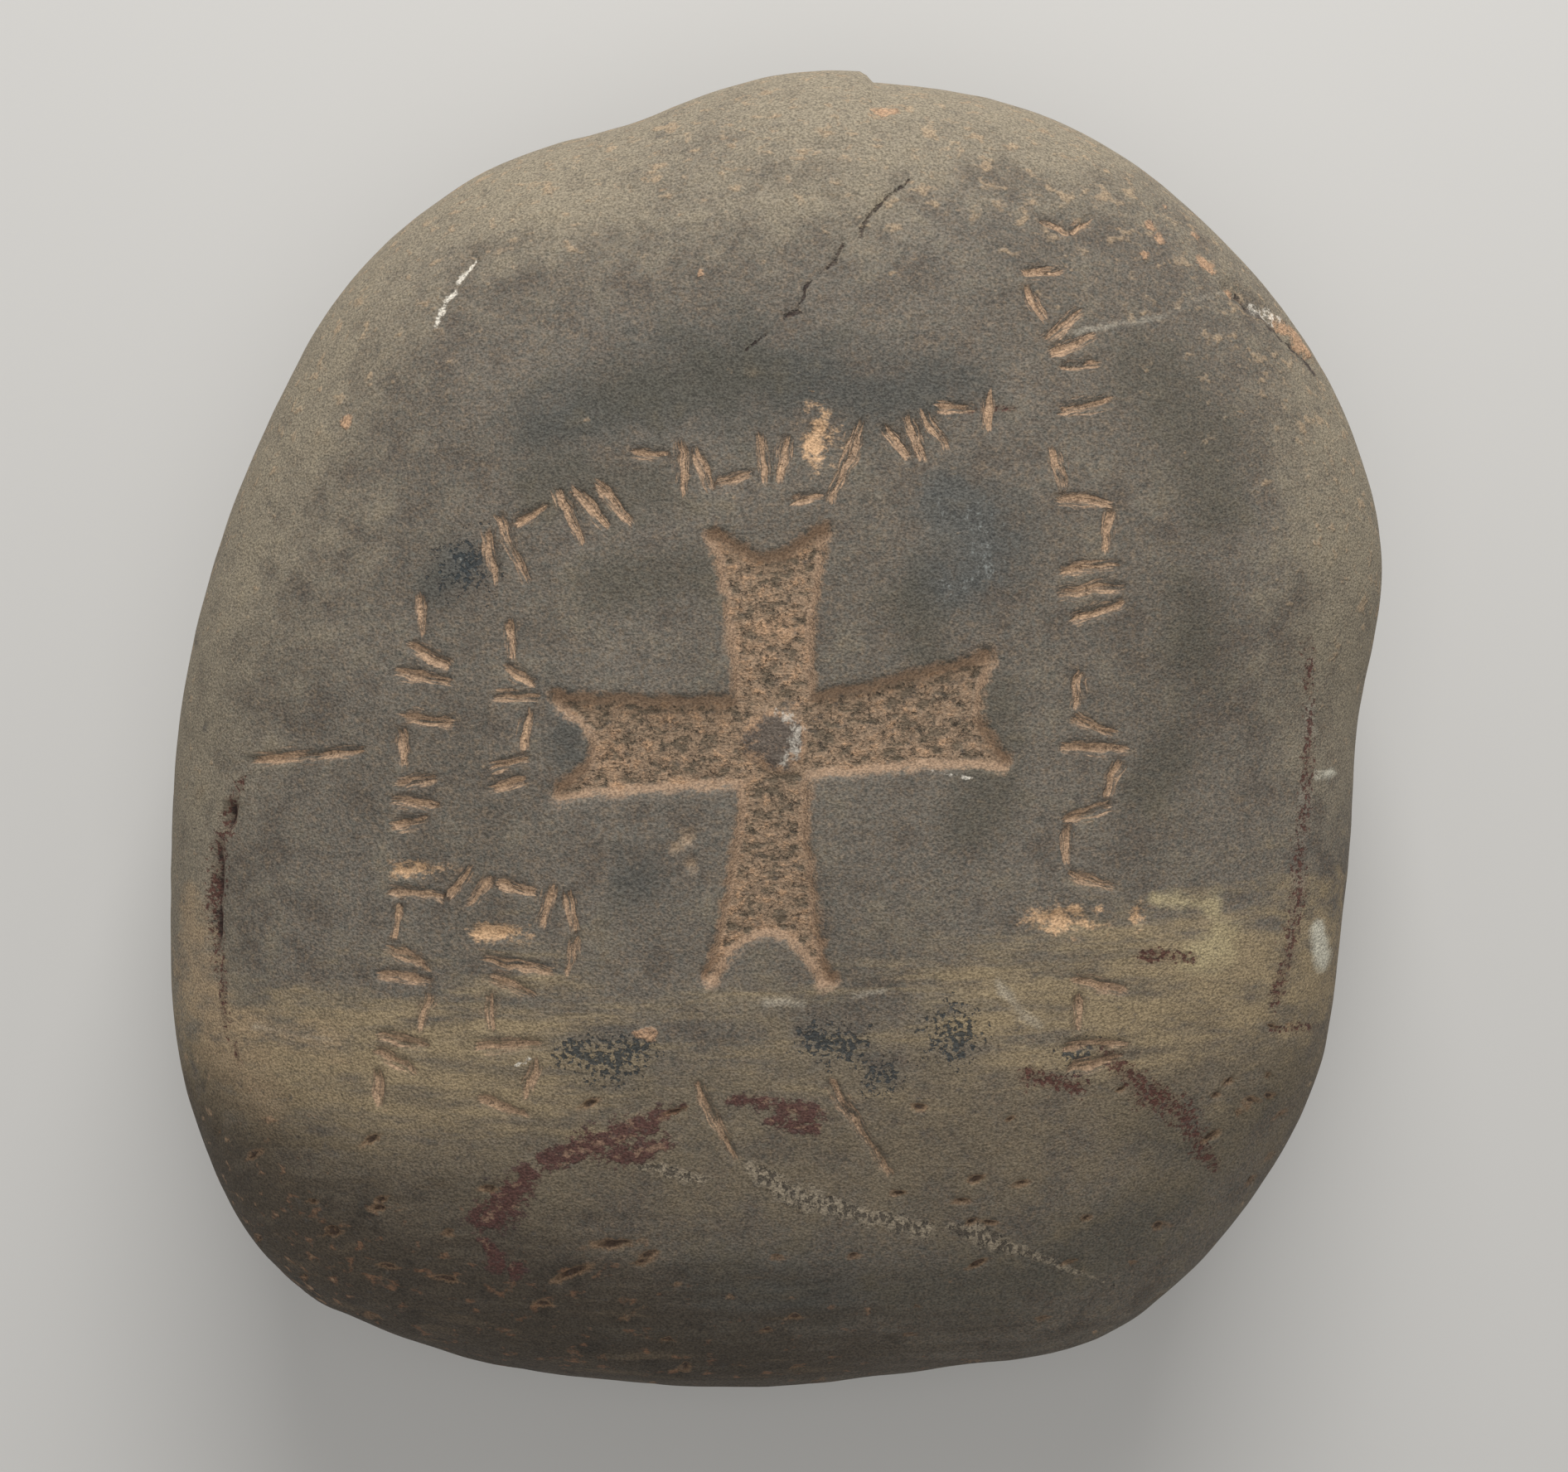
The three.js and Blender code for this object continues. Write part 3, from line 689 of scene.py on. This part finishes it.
def weathering(points):
    """Where the skin is bleached, tan, olive, earthy or flecked, each from 0 to 1. Each is a smooth step
    or a bell curve over the place across and up the cobble, whose edge wavers, and most fade on the
    sides."""
    across, up = points[:, 0] / HALF_WIDTH, points[:, 1] / HALF_HEIGHT
    high = smooth(points[:, 2], *SIDE_HEIGHTS)

    def faded(at_foot):
        """1 high up on the stone, and this share at its foot."""
        return at_foot + (1 - at_foot) * high

    def band(middle, spread):
        """A bell curve over the height on the face, which leans and wavers."""
        return np.exp(-((level - middle) / spread) ** 2)

    top = smooth(up + waver(points, TOP_WAVER, seed=20), *BLEACHED_TOP)
    left = smooth(-across + LEFT_LEAN * up + waver(points, LEFT_WAVER, seed=21), *BLEACHED_LEFT)
    right = smooth(across + waver(points, RIGHT_WAVER, seed=24), *BLEACHED_RIGHT)
    right *= smooth(up, *RIGHT_FOOT)
    bleached = TOP_STRENGTH * top + LEFT_STRENGTH * left + RIGHT_STRENGTH * right
    level = up - BAND_LEAN * across + waver(points, BAND_WAVER, seed=23)
    on_olive = OLIVE_IN_MIDDLE + (1 - OLIVE_IN_MIDDLE) * smooth(np.abs(across), *OLIVE_SIDES)
    earthy = smooth(-up - EARTHY_LEAN * across + waver(points, EARTHY_WAVER, seed=22), *EARTHY_FOOT)
    rim = smooth(np.hypot(across, up) + FLECKED_LEAN * up, *FLECKED_RIM)
    return {
        "bleached": np.clip(bleached, 0, 1) * faded(BLEACHED_ON_SIDE),
        "tan": band(*TAN_BAND) * faded(TAN_ON_SIDE),
        "olive": band(*OLIVE_BAND) * on_olive,
        "earthy": earthy * (1 - PALE_EDGE_SHARE * smooth(-up, *PALE_EDGE)),
        "flecked": FLECKED_EVERYWHERE + FLECKED_AT_RIM * rim * faded(FLECKED_ON_SIDE),
    }


# The patterns in the stone: the size of a cloud, fleck or grain in millimetres, its scale across, up and
# through the stone, below 1 where it is drawn out, and how fine and rough its edges are. The real grain
# is a quarter of a millimetre, too fine to show, and is drawn twice as coarse. Each pattern is moved on
# by a shift of its own.
PATTERN_SHIFT = 7.3
PATTERNS = {
    "cloud": (55, (1, 1, 1), 2, 0.5),
    "mottle": (9, (1, 1, 1), 4, 0.6),
    "streak": (7, (0.22, 1.5, 1), 4, 0.65),
    "lump": (3.4, (0.8, 1, 1), 2, 0.6),
    "fleck": (2.2, (0.7, 1, 1), 3, 0.7),
    "ragged": (2.4, (0.8, 1, 1), 4, 0.75),
    "peck": (1.5, (1.2, 0.8, 1), 3, 0.7),
    "speck": (1.1, (1, 1, 1), 2, 0.6),
    "grain": (0.5, (0.9, 1, 1), 1, 0.6),
    "fibre": (0.8, (0.12, 1, 1), 3, 0.7),
}

# The finishes, each laid over those before it: its mark, pattern, weight, span, colour, cover and depth.
# A finish covers the skin where its mark plus its pattern, counted from the pattern's middle and
# multiplied by its weight, passes through its span. Without a mark it covers the whole stone. Its cover
# is how much it hides, and its depth is in millimetres, below 0 where it is sunk.
SANDSTONE = "#635b50"
FINISHES = [
    # Clouds and mottling of the dark stone, and warm and cool grains in it.
    (None, "cloud", 1, (-0.1, 0.12), "#6d655a", 0.8, 0),
    (None, "mottle", -1, (0.0, 0.16), "#574e44", 0.7, 0),
    (None, "mottle", 1, (0.02, 0.2), "#777063", 0.6, 0),
    (None, "speck", 1, (0.0, 0.2), "#7d6c58", 0.5, 0),
    (None, "speck", -1, (0.0, 0.2), "#53544e", 0.5, 0),
    # Bleached skin, slate-grey and dark patches, and the yellowish band where the ground met the stone.
    ("bleached", "mottle", 1, (0.15, 0.95), "#8b806c", 0.9, 0),
    ("slate", "mottle", 3, (-0.3, 1.0), "#464641", 0.82, 0),
    ("speckled", "mottle", 3, (-0.2, 1.0), "#5a5a56", 0.55, 0),
    ("speckled", "peck", -5, (1.0, 1.8), "#383a38", 0.6, 0),
    ("speckled", "peck", 5, (1.1, 1.9), "#8b8e89", 0.6, 0),
    ("blotch", "mottle", 2, (-0.2, 0.9), "#4b473c", 0.6, 0),
    ("tan", "mottle", 3, (0.1, 1.3), "#72644e", 0.65, 0),
    ("olive", "streak", 2.5, (0.4, 1.2), "#928062", 0.85, 0),
    ("tan_stain", "streak", 3, (0.0, 1.1), "#a18a6c", 0.7, 0),
    ("olive_patch", "mottle", 3, (-0.4, 0.9), "#a69774", 0.85, 0),
    ("earthy", "streak", 1.2, (0.2, 1.0), "#41382d", 0.88, 0),
    ("earthy", "mottle", -6, (1.1, 2.2), "#2f2a22", 0.6, 0),
    ("earthy", "streak", 6, (1.2, 2.3), "#6a5b48", 0.5, 0),
    ("earthy", "lump", 5, (1.35, 2.0), "#855f44", 0.6, 0),
    # Lumps and flecks of tan stone and open pores.
    ("flecked", "lump", 5, (1.2, 1.9), "#a28b6f", 0.65, 0.15),
    ("flecked", "fleck", 5, (1.4, 2.0), "#9c8468", 0.6, 0),
    (None, "speck", -1, (0.22, 0.3), "#3b342d", 0.5, -0.15),
    # Stains: blue-black specks, pale smears, lichen, the pale vein and its pits, the crust and the rust.
    ("blue_specks", "speck", 6, (0.3, 0.9), "#2a3235", 0.85, -0.15),
    ("smear", "streak", 4, (0.1, 1.4), "#aaa292", 0.5, 0),
    ("lichen", "ragged", 0.8, (-0.2, 0.6), "#c3beac", 0.9, 0.1),
    ("vein", "ragged", 3.5, (-0.1, 0.6), "#938672", 0.85, 0.15),
    ("vein", "peck", 6, (0.5, 1.1), "#37312a", 0.75, -0.3),
    ("crust", "ragged", 4, (0.1, 0.6), "#50302b", 0.9, 0.15),
    ("crust", "fleck", 5, (0.9, 1.5), "#8a6f5a", 0.7, 0),
    ("rust", "mottle", 3, (-0.4, 0.9), "#5d4838", 0.5, 0),
    ("rust", "speck", 7, (0.2, 1.1), "#4e2a22", 0.85, -0.15),
    ("orange", "ragged", 3, (0.0, 0.6), "#b59070", 0.8, 0.2),
    ("white", "ragged", 4.5, (0.2, 0.9), "#d9d1c2", 0.95, 0),
    # Slits, with a rusty lip and a dark middle of painted shade.
    ("slit", "ragged", 3, (-0.6, 0.2), "#896b4f", 0.55, 0),
    ("slit", "ragged", 1, (0.1, 0.5), "#33241c", 0.8, -0.2),
    # The cross: a tan border, a duller floor with lighter lumps and darker hollows, and the boss.
    ("cross", "ragged", 6, (-0.9, 0.8), "#9a7f66", 0.9, 0),
    ("cross", "fleck", 5, (1.6, 2.6), "#b18c6b", 0.7, 0.15),
    ("floor", "mottle", 2, (0.3, 1.0), "#7a6a58", 0.7, 0),
    ("floor", "fleck", -5, (0.9, 1.6), "#50483a", 0.75, -0.15),
    ("floor", "fleck", 5, (1.2, 1.9), "#b08c6b", 0.7, 0.15),
    ("floor", "peck", -4, (1.2, 1.8), "#3d372e", 0.65, -0.3),
    ("boss", "ragged", 3, (0.1, 0.9), "#504b45", 0.9, 0),
    ("boss_smear", "peck", 4, (0.2, 1.0), "#b3ab9e", 0.75, 0),
    # The strokes: a dark soft edge, tan broken stone with lighter and darker fibres, dabs and vague pits.
    # Round each stroke, a dark soft edge that is partly painted shadow and partly dirt.
    ("stroke", "ragged", 2, (-0.8, 0.0), "#4d463d", 0.3, 0),
    ("stroke", "fibre", 6, (-0.4, 0.8), "#a88b70", 0.92, -0.15),
    ("stroke", "fibre", 5, (0.8, 1.6), "#c6a482", 0.65, 0.15),
    ("stroke", "peck", -5, (1.0, 1.7), "#6b5b4b", 0.6, -0.25),
    ("dab", "fleck", 5, (-0.5, 0.7), "#c4a07b", 0.92, 0),
    ("pits", "ragged", 3, (-0.4, 0.8), "#a08a72", 0.75, 0),
    ("crack", "ragged", 4, (0.1, 0.9), "#2a1b17", 0.8, -0.3),
]

# Most of the grain's values lie in this span. Over it, the grain lightens every finish from the first
# share to the second, and its tips are less rough than its hollows. The grain and the mottling stand this
# high in millimetres.
GRAIN_SPAN = (0.3, 0.7)
GRAIN_SHADE = (0.62, 1.38)
GRAIN_ROUGHNESS = (0.95, 0.78)
GRAIN_HEIGHT, MOTTLE_HEIGHT = 0.28, 0.7

# How strongly the stone bends light, which sets its faint shine, and the floor's paper.
STONE_IOR = 1.5
PAPER, PAPER_ROUGHNESS = "#c9c7c3", 0.9


def linear(code):
    """An sRGB hex colour as linear values."""
    values = [int(code[i:i + 2], 16) / 255 for i in (1, 3, 5)]
    return tuple(c / 12.92 if c <= 0.04045 else ((c + 0.055) / 1.055) ** 2.4 for c in values) + (1.0,)


def add(tree, kind, inputs, **settings):
    """Adds a node with its settings, and fills its inputs with values or with links from other nodes."""
    made = tree.nodes.new(kind)
    for name, value in settings.items():
        setattr(made, name, value)
    for key, value in inputs.items():
        if isinstance(value, bpy.types.NodeSocket):
            tree.links.new(value, made.inputs[key])
        else:
            made.inputs[key].default_value = value
    return made.outputs


def stone_patterns(tree):
    """The patterns by name, each a noise on the stone's own place, with clouds of its size in
    millimetres. Only the fibres lie along and across the strokes."""
    stone_place = add(tree, "ShaderNodeTexCoord", {})["Object"]
    stroke_place = add(tree, "ShaderNodeAttribute", {}, attribute_name="stroke_place")["Vector"]
    patterns = {}
    for number, (name, (size, drawn_out, detail, roughness)) in enumerate(PATTERNS.items()):
        place = stroke_place if name == "fibre" else stone_place
        scale = [share * METRE / size for share in drawn_out]
        mapping = {"Vector": place, "Location": [PATTERN_SHIFT * number] * 3, "Scale": scale}
        spread = add(tree, "ShaderNodeMapping", mapping)["Vector"]
        noise = {"Vector": spread, "Scale": 1.0, "Detail": detail, "Roughness": roughness}
        patterns[name] = add(tree, "ShaderNodeTexNoise", noise)["Fac"]
    return patterns


def lay_finish(tree, patterns, under, height, finish):
    """Lays one finish over the skin, and returns the new colour and height: its mark plus its weighted
    pattern goes through a soft step, which mixes in the colour and adds the depth. The patterns' middle
    is a half."""
    mark, pattern, weight, span, colour, cover, depth = finish
    marked = add(tree, "ShaderNodeAttribute", {}, attribute_name=mark)["Fac"] if mark else 0.0
    value = {0: patterns[pattern], 1: weight, 2: marked}
    value = add(tree, "ShaderNodeMath", value, operation="MULTIPLY_ADD")["Value"]
    start, full = (edge + weight / 2 for edge in span)
    step = {"Value": value, "From Min": start, "From Max": full, "To Max": cover}
    step = add(tree, "ShaderNodeMapRange", step, interpolation_type="SMOOTHSTEP")["Result"]
    laid = add(tree, "ShaderNodeMix", {0: step, 6: under, 7: linear(colour)}, data_type="RGBA")[2]
    if depth:
        raised = {0: step, 1: depth / cover, 2: height}
        height = add(tree, "ShaderNodeMath", raised, operation="MULTIPLY_ADD")["Value"]
    return laid, height


def river_cobble_sandstone():
    """Hard dark sandstone, worn smooth by a river, pecked and chiselled with iron points and then
    weathered in a graveyard. It is dull, with a crisp grain, tan where it was broken open and bleached
    where the rain ran."""
    material = bpy.data.materials.new("river_cobble_sandstone")
    material.use_nodes = True
    tree = material.node_tree
    shader = tree.nodes["Principled BSDF"]
    patterns = stone_patterns(tree)
    grain = patterns["grain"]
    mottled = {0: patterns["mottle"], 1: MOTTLE_HEIGHT, 2: 0.0}
    height = add(tree, "ShaderNodeMath", mottled, operation="MULTIPLY_ADD")["Value"]
    grainy = {0: grain, 1: GRAIN_HEIGHT, 2: height}
    height = add(tree, "ShaderNodeMath", grainy, operation="MULTIPLY_ADD")["Value"]
    skin_colour = linear(SANDSTONE)
    for finish in FINISHES:
        skin_colour, height = lay_finish(tree, patterns, skin_colour, height, finish)
    over_grain = {"Value": grain, "From Min": GRAIN_SPAN[0], "From Max": GRAIN_SPAN[1]}
    shade = {**over_grain, "To Min": GRAIN_SHADE[0], "To Max": GRAIN_SHADE[1]}
    shade = add(tree, "ShaderNodeMapRange", shade)["Result"]
    shaded = {0: skin_colour, "Scale": shade}
    shaded = add(tree, "ShaderNodeVectorMath", shaded, operation="SCALE")["Vector"]
    dull = {**over_grain, "To Min": GRAIN_ROUGHNESS[0], "To Max": GRAIN_ROUGHNESS[1]}
    dull = add(tree, "ShaderNodeMapRange", dull)["Result"]
    bump = {"Height": height, "Distance": 1 / METRE, "Strength": 1.0}
    relief = add(tree, "ShaderNodeBump", bump)["Normal"]
    tree.links.new(shaded, shader.inputs["Base Color"])
    tree.links.new(dull, shader.inputs["Roughness"])
    tree.links.new(relief, shader.inputs["Normal"])
    shader.inputs["IOR"].default_value = STONE_IOR
    return material


def studio_paper():
    """Matt pale paper, a little warm."""
    material = bpy.data.materials.new("studio_paper")
    material.use_nodes = True
    shader = material.node_tree.nodes["Principled BSDF"]
    shader.inputs["Base Color"].default_value = linear(PAPER)
    shader.inputs["Roughness"].default_value = PAPER_ROUGHNESS
    return material


def mesh_object(name, points, faces, material):
    """A smooth-shaded mesh from points in metres."""
    mesh = bpy.data.meshes.new(name)
    mesh.from_pydata(points.tolist(), [], faces)
    mesh.materials.append(material)
    mesh.shade_smooth()
    made = bpy.data.objects.new(name, mesh)
    bpy.context.scene.collection.objects.link(made)
    return made


def carved_cobble():
    """The cobble with its carving: the skin is worked out, fitted to the solid's box, and then carved."""
    box_points, faces = cobble_grid()
    points = skin(*box_points.T)
    low, high = points.min(axis=0)[:2], points.max(axis=0)[:2]
    stone_low, stone_high = STONE_LOW[:2], STONE_HIGH[:2]
    points[:, :2] = (points[:, :2] - low) / (high - low) * (stone_high - stone_low) + stone_low
    stone = mesh_object("carved_cobble", points / METRE, faces, river_cobble_sandstone())
    normals = np.zeros(len(points) * 3, np.float32)
    stone.data.vertices.foreach_get("normal", normals)
    moved, marks, stroke_place = carve(points, normals.reshape(-1, 3).astype(float))
    stone.data.vertices.foreach_set("co", (moved / METRE).astype(np.float32).ravel())
    for name, values in marks.items():
        layer = stone.data.attributes.new(name, "FLOAT", "POINT")
        layer.data.foreach_set("value", values.astype(np.float32))
    layer = stone.data.attributes.new("stroke_place", "FLOAT_VECTOR", "POINT")
    layer.data.foreach_set("vector", (stroke_place / METRE).astype(np.float32).ravel())
    stone.data.update()
    return stone


def studio_floor():
    """A wide level square under the stone."""
    corners = np.array([[-1, -1, 0], [1, -1, 0], [1, 1, 0], [-1, 1, 0]]) * FLOOR_HALF
    return mesh_object("studio_floor", corners, [[0, 1, 2, 3]], studio_paper())


def soft_light(name, place, size, watts):
    """A square lamp that faces the middle of the stone."""
    lamp = bpy.data.lights.new(name, "AREA")
    lamp.size, lamp.energy = size, watts
    made = bpy.data.objects.new(name, lamp)
    made.location = place
    towards_stone = Vector((0, 0, RIM_HEIGHT / METRE)) - Vector(place)
    made.rotation_euler = towards_stone.to_track_quat("-Z", "Y").to_euler()
    bpy.context.scene.collection.objects.link(made)


def room_light():
    """An even white light from all round."""
    world = bpy.data.worlds.new("studio")
    world.use_nodes = True
    background = world.node_tree.nodes["Background"]
    background.inputs["Color"].default_value = linear("#ffffff")
    background.inputs["Strength"].default_value = ROOM_LIGHT
    bpy.context.scene.world = world


def camera_above():
    """A camera that looks straight down at the face, as the photograph looks straight at it."""
    data = bpy.data.cameras.new("camera")
    data.lens, data.sensor_width, data.clip_start = CAMERA_LENS, CAMERA_SENSOR, CAMERA_NEAR
    camera = bpy.data.objects.new("camera", data)
    camera.location = [c / METRE for c in (*CAMERA_AIM, RIM_HEIGHT + CAMERA_ABOVE_RIM)]
    bpy.context.scene.collection.objects.link(camera)
    bpy.context.scene.camera = camera


stone = carved_cobble()
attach(stone, "root")
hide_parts("gravestone")
studio_floor()

for lamp in LAMPS:
    soft_light(**lamp)
room_light()
camera_above()
bpy.context.scene.view_settings.view_transform = "Standard"
